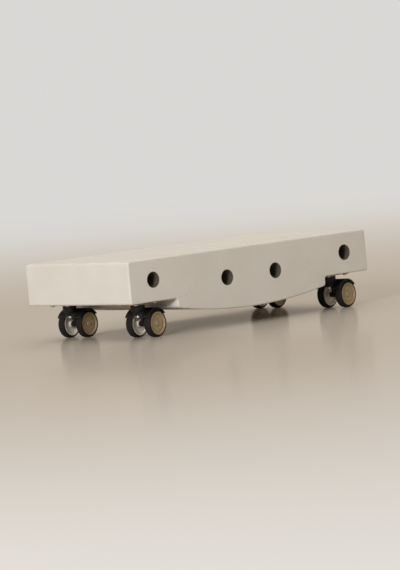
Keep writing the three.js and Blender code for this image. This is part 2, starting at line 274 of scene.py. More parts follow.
plywoodLook = {
    "early": (0.640, 0.470, 0.290),
    "late": (0.500, 0.340, 0.190),
    "grain": (2.2, 4, 0.6, (1, 0.06, 1)),  # with its stretch, drawn out along Y
    "figure": (14, 3, 0.6, (1, 0.12, 1)),
    "figureShare": 0.4,
    "woodFade": (0.38, 0.62),
    "ply": 1.7,
    "plyFade": (-0.2, 0.2),
    "roughness": (0.52, 0.16),
    "relief": (0.1, 0.5),
}


# Sanded birch: long grain on the faces, and plies that alternate down the edge with the sine of
# the height
def plywoodFinish():
    look = plywoodLook
    made = Finish("plywood")
    grain = made.noise(*look["grain"])
    figure = made.noise(*look["figure"])
    figured = grain * (1 - look["figureShare"]) + figure * look["figureShare"]
    wood = made.blend(made.between(figured, *look["woodFade"]), look["late"], look["early"])
    height = made.node("SeparateXYZ", None, {0: made.place()}, output=2)
    layers = height.maths("SINE", height * (math.pi / (look["ply"] * mm)))
    layers = made.between(layers, *look["plyFade"]) * made.attribute("zone")
    made.feed("Base Color", made.blend(layers, wood, look["late"]))
    return made.surfaced(look, grain, grain)


blackSteelLook = {
    "coat": (0.018, 0.017, 0.016),
    "dusty": (0.052, 0.047, 0.041),
    "bare": (0.42, 0.41, 0.40),
    "dust": (16, 4, 0.6, 0.45, 0.75),
    "dustShare": 0.4,
    "chips": (2.5, 4, 0.65, 0.52, 0.62),
    "chipMetal": 0.9,
    "peel": (1.1, 2),
    "roughness": (0.36, 0.24),
    "relief": (0.06, 0.45),
}


# Satin black coat on sheet steel: orange peel, and bare metal on the punched edges
def blackSteelFinish():
    look = blackSteelLook
    made = Finish("blackSteel", Specular_IOR_Level=0.5)
    dust = made.patches(*look["dust"])
    bare = made.patches(*look["chips"]) * made.attribute("edge")
    coat = made.blend(dust * look["dustShare"], look["coat"], look["dusty"])
    made.feed("Base Color", made.blend(bare, coat, look["bare"]))
    made.feed("Metallic", bare * look["chipMetal"])
    return made.surfaced(look, made.noise(*look["peel"]), dust)


zincLook = {
    "bright": (0.55, 0.56, 0.58),
    "bloomed": (0.58, 0.54, 0.46),
    # painted shade for the screws' slots
    "recess": (0.12, 0.11, 0.10),
    "paintedShadeShare": 0.7,
    "bloom": (5, 3, 0.6, 0.35, 0.7),
    "spangle": 1.6,
    "grain": (0.5, 2),
    "roughness": (0.24, 0.16, 0.08),
    "relief": (0.02, 0.5),
}


# Zinc plate: bright grey with a faint warm bloom, with painted shade dark in the screws' recesses
def zincFinish():
    look = zincLook
    made = Finish("zinc", Metallic=1.0)
    bloom = made.patches(*look["bloom"])
    plate = made.blend(bloom, look["bright"], look["bloomed"])
    # painted shade in the screws' slots
    recess = made.attribute("zone") * look["paintedShadeShare"]
    made.feed("Base Color", made.blend(recess, plate, look["recess"]))
    return made.surfaced(look, made.noise(*look["grain"]), bloom, made.cells(look["spangle"]))


nylonLook = {
    "cloudy": (0.70, 0.68, 0.61),
    "clear": (0.77, 0.755, 0.70),
    "yellowed": (0.52, 0.48, 0.38),
    "yellowShare": 0.4,
    "cloud": (6, 3, 0.55),
    "cloudFade": (0.35, 0.65),
    "grain": (0.7, 2),
    "roughness": (0.34, 0.16),
    "relief": (0.03, 0.5),
}


# Natural nylon: milky, slightly yellowed towards its rims
def nylonFinish():
    look = nylonLook
    made = Finish("nylon", Specular_IOR_Level=0.5)
    cloud = made.noise(*look["cloud"])
    milk = made.blend(made.between(cloud, *look["cloudFade"]), look["cloudy"], look["clear"])
    rims = made.attribute("edge") * look["yellowShare"]
    made.feed("Base Color", made.blend(rims, milk, look["yellowed"]))
    return made.surfaced(look, made.noise(*look["grain"]), cloud)


blackPlasticLook = {
    "deep": (0.008, 0.006, 0.005),
    "dusty": (0.034, 0.028, 0.022),
    "rubbed": (0.044, 0.038, 0.032),
    "film": (12, 4, 0.62, 0.44, 0.72),
    "dustShare": 0.25,
    "rubShare": 0.3,
    "grain": 0.42,
    "roughness": (0.5, 0.14, -0.14),
    "relief": (0.05, 0.5),
}


# Black moulding: spark-grained, rubbed smoother on its edges, dust in the hollows
def blackPlasticFinish():
    look = blackPlasticLook
    made = Finish("blackPlastic", Specular_IOR_Level=0.35)
    film = made.patches(*look["film"])
    edge = made.attribute("edge")
    hollow = made.attribute("zone")
    dust = film * look["dustShare"] + hollow * look["dustShare"]
    tone = made.blend(dust, look["deep"], look["dusty"])
    made.feed("Base Color", made.blend(edge * look["rubShare"], tone, look["rubbed"]))
    return made.surfaced(look, made.cells(look["grain"]), film, edge)


hubLook = {
    "outside": ((0.350, 0.260, 0.130), (0.405, 0.308, 0.165)),
    "inside": ((0.800, 0.745, 0.640), (0.835, 0.785, 0.690)),
    "rubbed": (0.52, 0.43, 0.28),
    "dirtAndShade": (0.120, 0.088, 0.052),
    "flow": (7, 3, 0.5, 0.3, 0.7),
    "grime": (2.6, 4, 0.6, 0.36, 0.7),
    "dirtAndShadeShare": (0.15, 0.4),  # painted shade everywhere in the corners, and dirt more where there is grime
    "rubShare": 0.45,
    "grain": (0.5, 2),
    "roughness": (0.4, 0.12),
    "relief": (0.03, 0.4),
}


# Two-shot moulding of the wheel hubs: golden tan outside, cream inside, satin, with flow clouds,
# scuffs on the rims, and dirt with painted shade in the corners of the dishes
def tanPlasticFinish():
    look = hubLook
    made = Finish("tanPlastic", Specular_IOR_Level=0.45)
    flow = made.patches(*look["flow"])
    grime = made.patches(*look["grime"])
    outside = made.blend(flow, *look["outside"])
    inside = made.blend(flow, *look["inside"])
    tone = made.blend(made.attribute("pale"), outside, inside)
    # painted shade in the dishes' corners, darker still with dirt where there is grime
    least, more = look["dirtAndShadeShare"]
    tone = made.blend(made.attribute("zone") * (least + more * grime), tone, look["dirtAndShade"])
    rubbed = made.attribute("edge") * grime * look["rubShare"]
    made.feed("Base Color", made.blend(rubbed, tone, look["rubbed"]))
    return made.surfaced(look, made.noise(*look["grain"]), grime)


treadLook = {
    "rubber": (0.007, 0.005, 0.004),
    "rubbed": (0.034, 0.030, 0.026),
    "dust": (2.4, 5, 0.65, 0.46, 0.72),
    "dustHeight": 0.5,
    "rubShare": (0.25, 0.35),  # all over the running surface, and more where there is dust
    "grain": (0.35, 3),
    "grainHeight": 0.6,
    "roughness": (0.62, 0.18, 0.06),
    "relief": (0.07, 0.6),
}


# Soft tread: matt black, rubbed greyer on the running surface, with a little pressed-in dust
def treadFinish():
    look = treadLook
    made = Finish("tread", Specular_IOR_Level=0.22)
    running = made.attribute("zone")
    dust = made.patches(*look["dust"])
    least, more = look["rubShare"]
    made.feed("Base Color", made.blend(running * (least + more * dust), look["rubber"], look["rubbed"]))
    grain = look["grainHeight"] * made.noise(*look["grain"])
    return made.surfaced(look, grain + dust * running * look["dustHeight"], running, dust)


finishes = {
    "foam": foamFinish(),
    "plywood": plywoodFinish(),
    "black_steel": blackSteelFinish(),
    "bright_steel": zincFinish(),
    "nylon": nylonFinish(),
    "black_plastic": blackPlasticFinish(),
    "tan_plastic": tanPlasticFinish(),
    "tread": treadFinish(),
}
print("finishes made:", len(finishes))


# Corners (a, b, radius) joined by straight runs, each corner turned on an arc of its radius;
# the third column is an edge mask, 1 in the middle of each arc and 0 where it meets a run
def filleted(corners, closed=False, steps=6):
    made = []
    for i, (a, b, radius) in enumerate(corners):
        here = np.array([a, b])
        if radius == 0 or (not closed and i in (0, len(corners) - 1)):
            made.append(np.array([[a, b, 0.0]]))
            continue
        before = np.array(corners[i - 1][:2]) - here
        after = np.array(corners[(i + 1) % len(corners)][:2]) - here
        before = before / np.linalg.norm(before)
        after = after / np.linalg.norm(after)
        half = math.acos(max(-1.0, min(1.0, before @ after))) / 2
        middle = (before + after) / np.linalg.norm(before + after)
        centre = here + middle * radius / math.sin(half)
        start = here + before * radius / math.tan(half) - centre
        finish = here + after * radius / math.tan(half) - centre
        sweep = math.atan2(start[0] * finish[1] - start[1] * finish[0], start @ finish)
        share = np.linspace(0, 1, steps + 1)[:, None]
        turn = sweep * share
        arc = centre + start * np.cos(turn) + np.array([-start[1], start[0]]) * np.sin(turn)
        made.append(np.hstack([arc, np.sin(math.pi * share)]))
    return np.concatenate(made)


# Part of a profile without worn edges
def plainProfile(radii, heights):
    radii, heights = np.broadcast_arrays(radii, heights)
    return np.stack([radii, heights, np.zeros(len(radii))], -1)


# A row of values followed by the same row backwards
def thereAndBack(row):
    return np.concatenate([row, row[::-1]])


# Places at the same distances in from both ends
def fromBothEnds(low, high, distances):
    return np.concatenate([low + distances, (high - distances)[::-1]])


# The same outline with further points on its long runs, none more than a step apart
def refined(outline, step):
    run = np.concatenate([[0], np.cumsum(np.hypot(*np.diff(outline[:, :2], axis=0).T))])
    wanted = np.unique(np.round(np.concatenate([run, np.arange(0, run[-1], step)]), 4))
    return np.stack([np.interp(wanted, run, column) for column in outline.T], -1)


# A profile of (radius, height, edge) carried round the Z or Y axis about a centre
def lathe(profile, segments, axis="Z", centre=(0, 0), zone=0.0):
    angles = np.linspace(0, 2 * math.pi, segments, endpoint=False)
    across = profile[:, 0, None] * np.cos(angles) + centre[0]
    up = profile[:, 0, None] * np.sin(angles) + centre[1]
    along = profile[:, 1, None] + 0 * angles
    order = (across, up, along) if axis == "Z" else (across, along, up)
    return {"grid": np.stack(order, -1), "edge": profile[:, 2, None], "zone": np.reshape(zone, (-1, 1))}


# Corners of the quads between the rows of a grid whose columns close into a ring
def gridQuads(rows, columns):
    i, j = np.meshgrid(np.arange(rows - 1), np.arange(columns), indexing="ij")
    right = (j + 1) % columns
    near, far = i * columns, (i + 1) * columns
    return np.stack([near + j, near + right, far + right, far + j], -1)


# Grids of points in millimetres welded into one mesh; open rims in a named plane are filled flat
def weld(name, patches, flats=(), sharp=40):
    points, quads = [], []
    masks = {key: [] for key in ("edge", "zone", "pale")}
    first = 0
    for patch in patches:
        grid = patch["grid"]
        rows, columns = grid.shape[:2]
        keep = patch.get("keep", np.ones((rows - 1, columns), bool))
        quads.append(gridQuads(rows, columns)[keep] + first)
        points.append(grid.reshape(-1, 3) * mm)
        for key, values in masks.items():
            values.append(np.broadcast_to(patch.get(key, 0.0), (rows, columns)).ravel())
        first += rows * columns
    mesh = bpy.data.meshes.new(name)
    mesh.from_pydata(np.concatenate(points), [], np.concatenate(quads))
    masked(mesh, {key: np.concatenate(values) for key, values in masks.items()})
    return tidied(mesh, flats, sharp)


# Masks that the finishes read: worn edges, a zone that each finish colours its own way, painted shade in some, and
# a paler side
def masked(mesh, masks):
    for key, values in masks.items():
        mesh.attributes.new(key, "FLOAT", "POINT").data.foreach_set("value", values.astype(np.float32))


# Doubles merged, flat openings filled, faces turned outwards, smooth up to the sharp angle
def tidied(mesh, flats=(), sharp=40):
    shell = bmesh.new()
    shell.from_mesh(mesh)
    bmesh.ops.remove_doubles(shell, verts=shell.verts, dist=weldWithin * mm)
    for axis, level in flats:
        rim = [
            e for e in shell.edges
            if e.is_boundary and all(abs(v.co[axis] / mm - level) < planeWithin for v in e.verts)
        ]
        normal = [0.0, 0.0, 0.0]
        normal[axis] = 1.0
        bmesh.ops.triangle_fill(shell, edges=rim, use_beauty=True, normal=normal)
    bmesh.ops.recalc_face_normals(shell, faces=shell.faces)
    loose = sum(not e.is_manifold for e in shell.edges)
    if loose:
        print("open edges left on", mesh.name, loose)
    shell.to_mesh(mesh)
    shell.free()
    mesh.shade_smooth()
    mesh.set_sharp_from_angle(angle=math.radians(sharp))
    return mesh


# A finished mesh as a piece: placed in its points, riding the node's body and standing for it
def piece(node, mesh, slot, matrix=None, weighted=True):
    own = mesh.copy()
    if matrix is not None:
        own.transform(matrix)
    own.materials.clear()
    own.materials.append(finishes[slot])
    made = bpy.data.objects.new(f"{node}_looks", own)
    bpy.context.scene.collection.objects.link(made)
    if weighted:
        made.modifiers.new("flatNormals", "WEIGHTED_NORMAL").keep_sharp = True
    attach(made, bodyOf[node])
    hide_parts(node)
    return made


# A closed rectangle with rounded corners (a, b, edge) about a middle
def roundedRectangle(size, radius, middle=(0, 0), steps=8):
    a, b = size[0] / 2, size[1] / 2
    corners = [(-a, -b, radius), (a, -b, radius), (a, b, radius), (-a, b, radius)]
    made = filleted(corners, closed=True, steps=steps)
    made[:, :2] += middle
    return made


# A quarter round where a wall meets a face: inset from the wall, distance in from the face, edge
def quarterRound(radius, steps=6):
    turn = np.linspace(0, math.pi / 2, steps + 1)
    return radius * (1 - np.sin(turn)), radius * (1 - np.cos(turn)), np.sin(2 * turn)


blockShape = {
    "shoulderDrop": 17,
    "topCorner": 5,
    "endCorner": 4,
    "shoulder": 6,
    "step": 5,
    "longEdge": 3,
    "tunnelRadius": 14,
    "tunnelDepths": (4, 10, 25),  # rings of points in from each mouth
    "mouth": 1.5,
    "paintedShadeDepth": 0.6,  # the tunnels' walls are fully painted with shade from this far in
    "glueGap": 0.3,
    "boardCorner": 8,
    "roundSteps": 6,
    "bellySteps": 96,
    "tunnelSegments": 80,
}
blockPoints = nodePoints("block", Matrix())
bellyPoints = blockPoints[blockPoints[:, 2] < mountLevel - blockShape["step"] - 1]  # clear of the step
bellyEnd = np.abs(bellyPoints[:, 0]).max()


# The block's side outline (x, z, edge), drawn in from the true one by an inset. The belly is an
# arc through its two ends and its lowest point: radius = (half chord squared + rise squared) / 2 rise
def blockOutline(inset):
    shape = blockShape
    end = blockHigh[0] - inset
    top = blockHigh[2] - inset
    mount = mountLevel + inset
    rise = mountLevel - shape["shoulderDrop"] - blockLow[2]
    arcRadius = (bellyEnd**2 + rise**2) / (2 * rise)
    belly = bellyEnd - inset
    reach = math.asin(belly / (arcRadius - inset))
    turn = np.linspace(-reach, reach, shape["bellySteps"] + 1)
    under = np.stack([np.sin(turn), -np.cos(turn)], -1) * (arcRadius - inset) + [0, blockLow[2] + arcRadius]
    shoulder = shape["shoulder"] - inset
    corners = [
        (-end, top, shape["topCorner"] - inset),
        (-end, mount, shape["endCorner"] - inset),
        (-belly, mount, shape["step"] + inset),
        (*under[0], shoulder),
        *[(x, z, 0.0) for x, z in under[1:-1]],
        (*under[-1], shoulder),
        (belly, mount, shape["step"] + inset),
        (end, mount, shape["endCorner"] - inset),
        (end, top, shape["topCorner"] - inset),
    ]
    return filleted(corners, closed=True, steps=shape["roundSteps"])


# The belt is the outline carried across the width, drawn in along a quarter round at each side
# face. Tunnels are turned about their own axes and pockets are rounded rectangles carried up.
def makeBlock():
    shape = blockShape
    side = blockHigh[1]
    inset, along, edge = quarterRound(shape["longEdge"], shape["roundSteps"])
    across = fromBothEnds(-side, side, along)
    edges = thereAndBack(edge)
    outlines = [blockOutline(value) for value in thereAndBack(inset)]
    grid = np.stack([np.insert(line[:, :2], 1, y, 1) for line, y in zip(outlines, across)])
    corner = outlines[0][:, 2]
    perCorner = shape["roundSteps"] + 1
    keep = np.ones((len(across) - 1, len(corner)), bool)
    # the faces under the two flat ends are left out, and filled round the boards' pockets
    keep[len(inset) - 1, [2 * perCorner - 1, len(corner) - 2 * perCorner - 1]] = False
    patches = [{"grid": grid, "edge": np.maximum(edges[:, None], corner[None, :]), "keep": keep}]

    mouthIn, mouthAlong, mouthEdge = quarterRound(shape["mouth"])
    depth = np.concatenate([mouthAlong, shape["tunnelDepths"]])
    straight = np.zeros(len(shape["tunnelDepths"]))
    run = fromBothEnds(-side, side, depth)
    radii = shape["tunnelRadius"] + thereAndBack(np.concatenate([mouthIn, straight]))
    rims = thereAndBack(np.concatenate([mouthEdge, straight]))
    # the tunnels' walls are painted with shade, which fades in from each mouth
    inside = np.clip((side - np.abs(run)) / shape["paintedShadeDepth"], 0, 1)
    for opening in record["physics"]["openings"]:
        low, high = np.array(opening["box_m"]) / mm
        tunnel = lathe(np.stack([radii, run, rims], -1), shape["tunnelSegments"], "Y", zone=inside)
        tunnel["grid"] = tunnel["grid"] + (low + high) / 2 * [1, 0, 1]
        patches.append(tunnel)

    gap = shape["glueGap"]
    for node in boardNames:
        low, high = nodeBox(node)
        roof = high[2] + gap
        size = (high - low)[:2] + 2 * gap
        ring = roundedRectangle(size, shape["boardCorner"] + gap, ((low + high) / 2)[:2])
        wall = np.stack([np.insert(ring[:, :2], 2, z, 1) for z in (low[2], roof)])
        # the pockets' walls get the same painted shade as the tunnels
        patches.append({"grid": wall, "zone": 1.0})
    return weld("block", patches, [(1, -side), (1, side), (2, mountLevel), (2, roof)])


piece("block", makeBlock(), "foam")
print("block made")


# A flat piece with rounded corners: its outline is carried up, drawn in along a quarter round at
# both faces, and its holes are turned profiles that end in the faces
def slab(name, low, high, corner, rounding, holes, wallZone=0.0):
    inset, along, edge = quarterRound(rounding, steps=4)
    middle = ((low + high) / 2)[:2]
    levels = fromBothEnds(low[2], high[2], along)
    rows = []
    for drawn, z in zip(thereAndBack(inset), levels):
        ring = roundedRectangle((high - low)[:2] - 2 * drawn, corner - drawn, middle)
        rows.append(np.insert(ring[:, :2], 2, z, 1))
    zone = np.full((len(rows), 1), wallZone)
    zone[[0, -1]] = 0
    wall = {"grid": np.stack(rows), "edge": thereAndBack(edge)[:, None], "zone": zone}
    return weld(name, [wall, *holes], [(2, low[2]), (2, high[2])])


plateShape = {
    "corner": 7,
    "rounding": 0.4,
    "holeRounding": 0.3,
    "screwHole": 2.6,
    "pinHole": 4.3,
    "segments": 32,
}
boardShape = {
    "rounding": 0.6,
    "screwHole": 2.3,
    "screwDepth": 9.8,
    "recess": 7.6,
    "recessDepth": 2.4,
}
screwPlaces = [
    (sum(nodeBox(f"front_left_screw_{number}")) / 2 - np.array(measured.translation) / mm)[:2]
    for number in (1, 2, 3, 4)
]


# A hole right through a plate, its rims rounded
def throughHole(radius, low, high, centre):
    inset, along, edge = quarterRound(plateShape["holeRounding"], steps=3)
    height = fromBothEnds(low, high, along)
    profile = np.stack([radius + thereAndBack(inset), height, thereAndBack(edge)], -1)
    return lathe(profile, plateShape["segments"], "Z", centre)


# A blind hole up from a face, its end rounded by a quarter of its radius
def blindHole(radius, level, depth, centre):
    end = level + depth
    profile = filleted([(radius, level, 0), (radius, end, radius / 4), (0, end, 0)], steps=3)
    return lathe(profile, plateShape["segments"], "Z", centre)


# A slab with the pin's hole in its middle and the four screws' holes round it
def makeTopPlate():
    centre = [*(measured.translation / mm)[:2], 0]
    low, high = (corner - centre for corner in nodeBox("front_left_top_plate"))
    holes = [throughHole(plateShape["pinHole"], low[2], high[2], (0, 0))]
    holes += [throughHole(plateShape["screwHole"], low[2], high[2], place) for place in screwPlaces]
    return slab("topPlate", low, high, plateShape["corner"], plateShape["rounding"], holes)


# A slab with a recess for each pin's head and blind holes for the screws round it
def makeMountingBoard(node):
    low, high = nodeBox(node)
    holes = []
    for caster in casterNames:
        x, y = (casterMatrix(caster).translation / mm)[:2]
        if low[0] < x < high[0]:
            holes.append(blindHole(boardShape["recess"], low[2], boardShape["recessDepth"], (x, y)))
            for across, along in screwPlaces:
                place = (x + across, y + along)
                holes.append(blindHole(boardShape["screwHole"], low[2], boardShape["screwDepth"], place))
    return slab("mountingBoard", low, high, blockShape["boardCorner"], boardShape["rounding"], holes, 1.0)


for node in boardNames:
    piece(node, makeMountingBoard(node), "plywood")
topPlate = makeTopPlate()
print("plates and boards made")


screwShape = {
    "head": 4.2,
    "headHeight": 2.6,
    "headFlat": 2.7,
    "headRounding": 1.4,
    "rimRounding": 0.15,
    "shank": 2.0,
    "collar": (0.2, 0.3, 0.4),  # heights where the plain part ends, the thread starts, its rows start
    "core": 1.5,
    "length": 12,
    "tip": 2.5,
    "pitch": 1.4,
    "ridge": 1.6,  # steepness of the thread's sides
    "slotLength": 2.2,
    "slotWidth": 0.5,
    "slotDepth": 1.5,
    "slotSlope": 0.5,
    "slotLip": 0.12,
    "slotTaper": 0.12,  # share of its depth lost for each millimetre out
    "slotReach": 0.5,  # only what lies this near to the face is pressed in
    "rows": (19, 52, 13),  # on the face, the shank and the point
    "segments": 48,
    "turnEach": 0.7,  # each screw is left turned this much further than the last
}


# A turned head and shank in one polar grid. Two crossed bars with sloping walls are pressed into
# the head, and the shank's radius rises on a helix: peak where height / pitch - turn is whole.
def makeScrew():
    shape = screwShape
    flat, radius = shape["headFlat"], shape["shank"]
    plainEnd, threadStart, rowStart = shape["collar"]
    faceRows, shankRows, pointRows = shape["rows"]
    under = plateBottom - shape["headHeight"]
    top = plateBottom + shape["length"]
    face = plainProfile(np.linspace(0, flat, faceRows), under)
    rim = filleted([
        (flat, under, 0),
        (shape["head"], under, shape["headRounding"]),
        (shape["head"], plateBottom, shape["rimRounding"]),
        (radius, plateBottom, 0),
        (radius, plateBottom + plainEnd, 0),
    ], steps=5)
    levels = np.linspace(plateBottom + rowStart, top - shape["tip"], shankRows)
    shank = plainProfile(radius, levels)
    point = plainProfile(np.linspace(radius, 0, pointRows), np.linspace(levels[-1], top, pointRows))
    profile = np.concatenate([face, rim[1:], shank, point[1:]])
    made = lathe(profile, shape["segments"])
    x, y, z = np.moveaxis(made["grid"], -1, 0)
    bars = [
        np.maximum(np.abs(a) - shape["slotLength"], np.abs(b) - shape["slotWidth"])
        for a, b in ((x, y), (y, x))
    ]
    onFace = z < under + shape["slotReach"]
    pressed = np.clip((shape["slotLip"] - np.minimum(*bars)) / shape["slotSlope"], 0, 1) * onFace
    z = z + shape["slotDepth"] * pressed * (1 - shape["slotTaper"] * np.hypot(x, y))
    phase = (z / shape["pitch"] - np.arctan2(y, x) / (2 * math.pi)) % 1
    ridge = np.clip(1 - np.abs(2 * phase - 1) * shape["ridge"], 0, 1)
    onShank = np.arange(len(profile))[:, None] >= len(face) + len(rim) - 1
    thread = (shape["core"] + (radius - shape["core"]) * ridge) / radius
    scale = np.where((z > plateBottom + threadStart) & onShank, thread, 1)
    made["grid"] = np.stack([x * scale, y * scale, z], -1)
    # the slots, which the zinc finish darkens with painted shade
    made["zone"] = pressed
    return weld("screw", [made], sharp=50)


pinShape = {
    "radius": 4,
    "groove": 3,
    "grooveGap": 0.3,  # over and under the ring
    "grooveRounding": 0.1,
    "lipRounding": 0.15,
    "neckRounding": 0.3,
    "rimRounding": 0.2,
    "endRounding": 0.9,
    "head": 7,
    "segments": 48,
}
ringShape = {
    "inner": 3.3,
    "outer": 6.7,
    "opening": math.radians(70),
    "rounding": 0.3,
    "rows": 50,
    "endRows": 9,
}
ringLow, ringHigh = nodeBox("front_left_retaining_ring")
pinLow, pinHigh = nodeBox("front_left_swivel_pin")


# Shaft with a ring groove near its lower end and a riveted head above the plate
def makeSwivelPin():
    shape = pinShape
    radius, groove, head = shape["radius"], shape["groove"], shape["head"]
    grooveTop = ringHigh[2] + shape["grooveGap"]
    grooveBottom = ringLow[2] - shape["grooveGap"]
    profile = filleted([
        (0, pinLow[2], 0),
        (radius, pinLow[2], shape["endRounding"]),
        (radius, grooveBottom, shape["lipRounding"]),
        (groove, grooveBottom, shape["grooveRounding"]),
        (groove, grooveTop, shape["grooveRounding"]),
        (radius, grooveTop, shape["lipRounding"]),
        (radius, mountLevel, shape["neckRounding"]),
        (head, mountLevel, shape["rimRounding"]),
        (head, pinHigh[2], shape["endRounding"]),
        (0, pinHigh[2], 0),
    ])
    return weld("swivelPin", [lathe(profile, shape["segments"])])


# A rounded section swept round an open circle, its width falling to nothing over each round end
def makeRetainingRing():
    shape = ringShape
    width = shape["outer"] - shape["inner"]
    middle = (shape["outer"] + shape["inner"]) / 2
    section = roundedRectangle((width, ringHigh[2] - ringLow[2]), shape["rounding"], steps=3)
    end = math.pi - shape["opening"] / 2
    tip = width / 2 / middle
    rounding = end - tip * (1 - np.sin(np.linspace(0, math.pi / 2, shape["endRows"])))
    between = np.linspace(-end + tip, end - tip, shape["rows"])[1:-1]
    turns = np.concatenate([-rounding[::-1], between, rounding])
    left = np.clip((end - np.abs(turns)) / tip, 0, 1)
    taper = np.sqrt(1 - (1 - left) ** 2)[:, None]
    radius = middle + section[:, 0] * taper
    angle = math.pi + turns[:, None]
    level = (ringHigh[2] + ringLow[2]) / 2 + section[:, 1] + 0 * angle
    grid = np.stack([radius * np.cos(angle), radius * np.sin(angle), level], -1)
    return weld("retainingRing", [{"grid": grid, "edge": section[None, :, 2]}])


washerShape = {"inner": 4.3, "outer": 13, "rounding": 0.45, "segments": 72}


# A rectangle with rounded corners carried once round the pin's axis
def makeThrustWasher():
    shape = washerShape
    inner, outer, rounding = shape["inner"], shape["outer"], shape["rounding"]
    profile = filleted([
        (inner, washerBottom, rounding),
        (outer, washerBottom, rounding),
        (outer, plateBottom, rounding),
        (inner, plateBottom, rounding),
    ], closed=True)
    return weld("thrustWasher", [lathe(np.vstack([profile, profile[:1]]), shape["segments"])])


axleShape = {"radius": 3, "reach": 9, "bevel": 0.6, "segments": 40}


# A round bar with bevelled ends, which reaches into both wheels
def makeAxle():
    shape = axleShape
    radius, bevel = shape["radius"], shape["bevel"]
    half = wheelInner + shape["reach"]
    profile = filleted([(0, -half, 0), (radius, -half, bevel), (radius, half, bevel), (0, half, 0)])
    return weld("axle", [lathe(profile, shape["segments"], "Y")])


hubShape = {
    "rim": 2.4,
    "recess": 2.5,
    "web": 8,
    "boss": 6,
    "bore": 3.3,
    "boreGap": 0.3,  # past the axle's end
    "cap": 5.4,
    "capHeight": 1.6,
    "step": (14.2, 8.4, 0.6),  # outer radius, inner radius, height
    "stepSlope": 0.4,
    "slope": 0.5,
    "fine": 0.3,  # roundings from here to capTop
    "lip": 0.6,
    "webCorner": 1.2,
    "seatInner": 0.4,
    "seatOuter": 0.8,
    "rimLip": 0.7,
    "dishCorner": 1.0,
    "capTop": 0.8,
    "segments": 96,
    "runStep": 1.0,
    "dirtAndShadeReach": 1.8,
    "creamOver": 0.1,  # the inner colour reaches this far past the web's face
}


# The +Y wheel's hub: both faces dished between rim and boss, a low step and a cap on the outer one.
# Painted shade and dirt fall off as a bell curve away from the dishes' corners.
def makeHub():
    shape = hubShape
    inner, outer = wheelInner, wheelOuter
    boreEnd = inner + axleShape["reach"] + shape["boreGap"]
    rimInside = hubRadius - shape["rim"]
    dish = outer - shape["recess"]
    web = dish - shape["web"]
    stepOut, stepIn, stepHeight = shape["step"]
    stepTop, capTop = dish + stepHeight, dish + shape["capHeight"]
    fine, lip, slope = shape["fine"], shape["lip"], shape["stepSlope"]
    profile = filleted([
        (0, boreEnd, 0),
        (shape["bore"], boreEnd, fine),
        (shape["bore"], inner, fine),
        (shape["boss"], inner, lip),
        (shape["boss"], web, shape["webCorner"]),
        (rimInside, web, shape["webCorner"]),
        (rimInside, inner, lip),
        (hubRadius, inner, shape["seatInner"]),
        (hubRadius, outer, shape["seatOuter"]),
        (rimInside, outer, shape["rimLip"]),
        (rimInside - shape["slope"], dish, shape["dishCorner"]),
        (stepOut, dish, fine),
        (stepOut - slope, stepTop, fine),
        (stepIn, stepTop, fine),
        (stepIn - slope, dish, fine),
        (shape["cap"], dish, lip),
        (shape["cap"] - shape["slope"], capTop, shape["capTop"]),
        (0, capTop, 0),
    ], steps=5)
    profile = refined(profile, shape["runStep"])
    corners = [(rimInside, dish), (shape["cap"], dish), (rimInside, web), (shape["boss"], web)]
    away = np.min([np.hypot(profile[:, 0] - a, profile[:, 1] - b) for a, b in corners], 0)
    made = lathe(profile, shape["segments"], "Y", zone=np.exp(-((away / shape["dirtAndShadeReach"]) ** 2)))
    made["pale"] = (profile[:, 1] < web + shape["creamOver"])[:, None].astype(float)
    return weld("hub", [made])


tyreShape = {
    "seatGap": 0.3,
    "seatRounding": 0.4,
    "shoulder": 3.2,
    "crown": 0.35,
    "crownFrom": 1,  # it starts this far out from the seat
    "crownBy": 2,  # and is full this much further out
    "lineDepth": 0.12,
    "lineWidth": 0.35,
    "rubbedFrom": 1.2,  # the running surface starts this far in from the wheel's radius
    "rubbedBy": 0.8,  # and is fully rubbed this much further out
    "runStep": 0.2,
    "segments": 128,
}


# The +Y wheel's tyre: a rounded band, crowned by a parabola, with a fine parting line in its middle
def makeTyre():
    shape = tyreShape
    inner, outer = wheelInner, wheelOuter
    middle, half = (inner + outer) / 2, (outer - inner) / 2
    seat = hubRadius + shape["seatGap"]
    profile = filleted([
        (seat, inner, shape["seatRounding"]),
        (wheelRadius, inner, shape["shoulder"]),
        (wheelRadius, outer, shape["shoulder"]),
        (seat, outer, shape["seatRounding"]),
    ], closed=True, steps=8)
    profile = refined(np.vstack([profile, profile[:1]]), shape["runStep"])
    off = profile[:, 1] - middle
    onTread = np.clip((profile[:, 0] - seat - shape["crownFrom"]) / shape["crownBy"], 0, 1)
    line = shape["lineDepth"] * np.exp(-((off / shape["lineWidth"]) ** 2))
    profile[:, 0] -= onTread * (shape["crown"] * (off / half) ** 2 + line)
    running = np.clip((profile[:, 0] - wheelRadius + shape["rubbedFrom"]) / shape["rubbedBy"], 0, 1)
    return weld("tyre", [lathe(profile, shape["segments"], "Y", zone=running)])


housingShape = {
    "voxel": 0.45,
    "hoodWall": 2.5,
    "hoodRear": math.radians(34),
    "hoodFront": math.radians(152),
    "hoodRounding": 1.6,
    "web": 6,
    "neck": 13,
    "neckSkirt": 16,
    "neckFlare": 6,
    "pinBoss": 8.5,
    "pinBossLength": 19.5,
    "pinBore": 4.3,
    "axleBoss": 5.2,
    "axleBore": 3.3,
    "endGap": 0.3,
    "fillet": 2.5,
    "webRounding": 1.2,
    "rounding": 1.0,
    "neckRounding": 3.0,
    "boreRounding": 0.8,
    "topRounding": 0.6,
    "room": 2,  # round the grid of voxels
    "wornFrom": 0.2,  # the bend from which an edge is worn
    "wornBy": 0.6,  # and how much more makes it fully so, as for the hollows' dust
    "dustyFrom": 0.1,
    "dustyBy": 0.4,
}


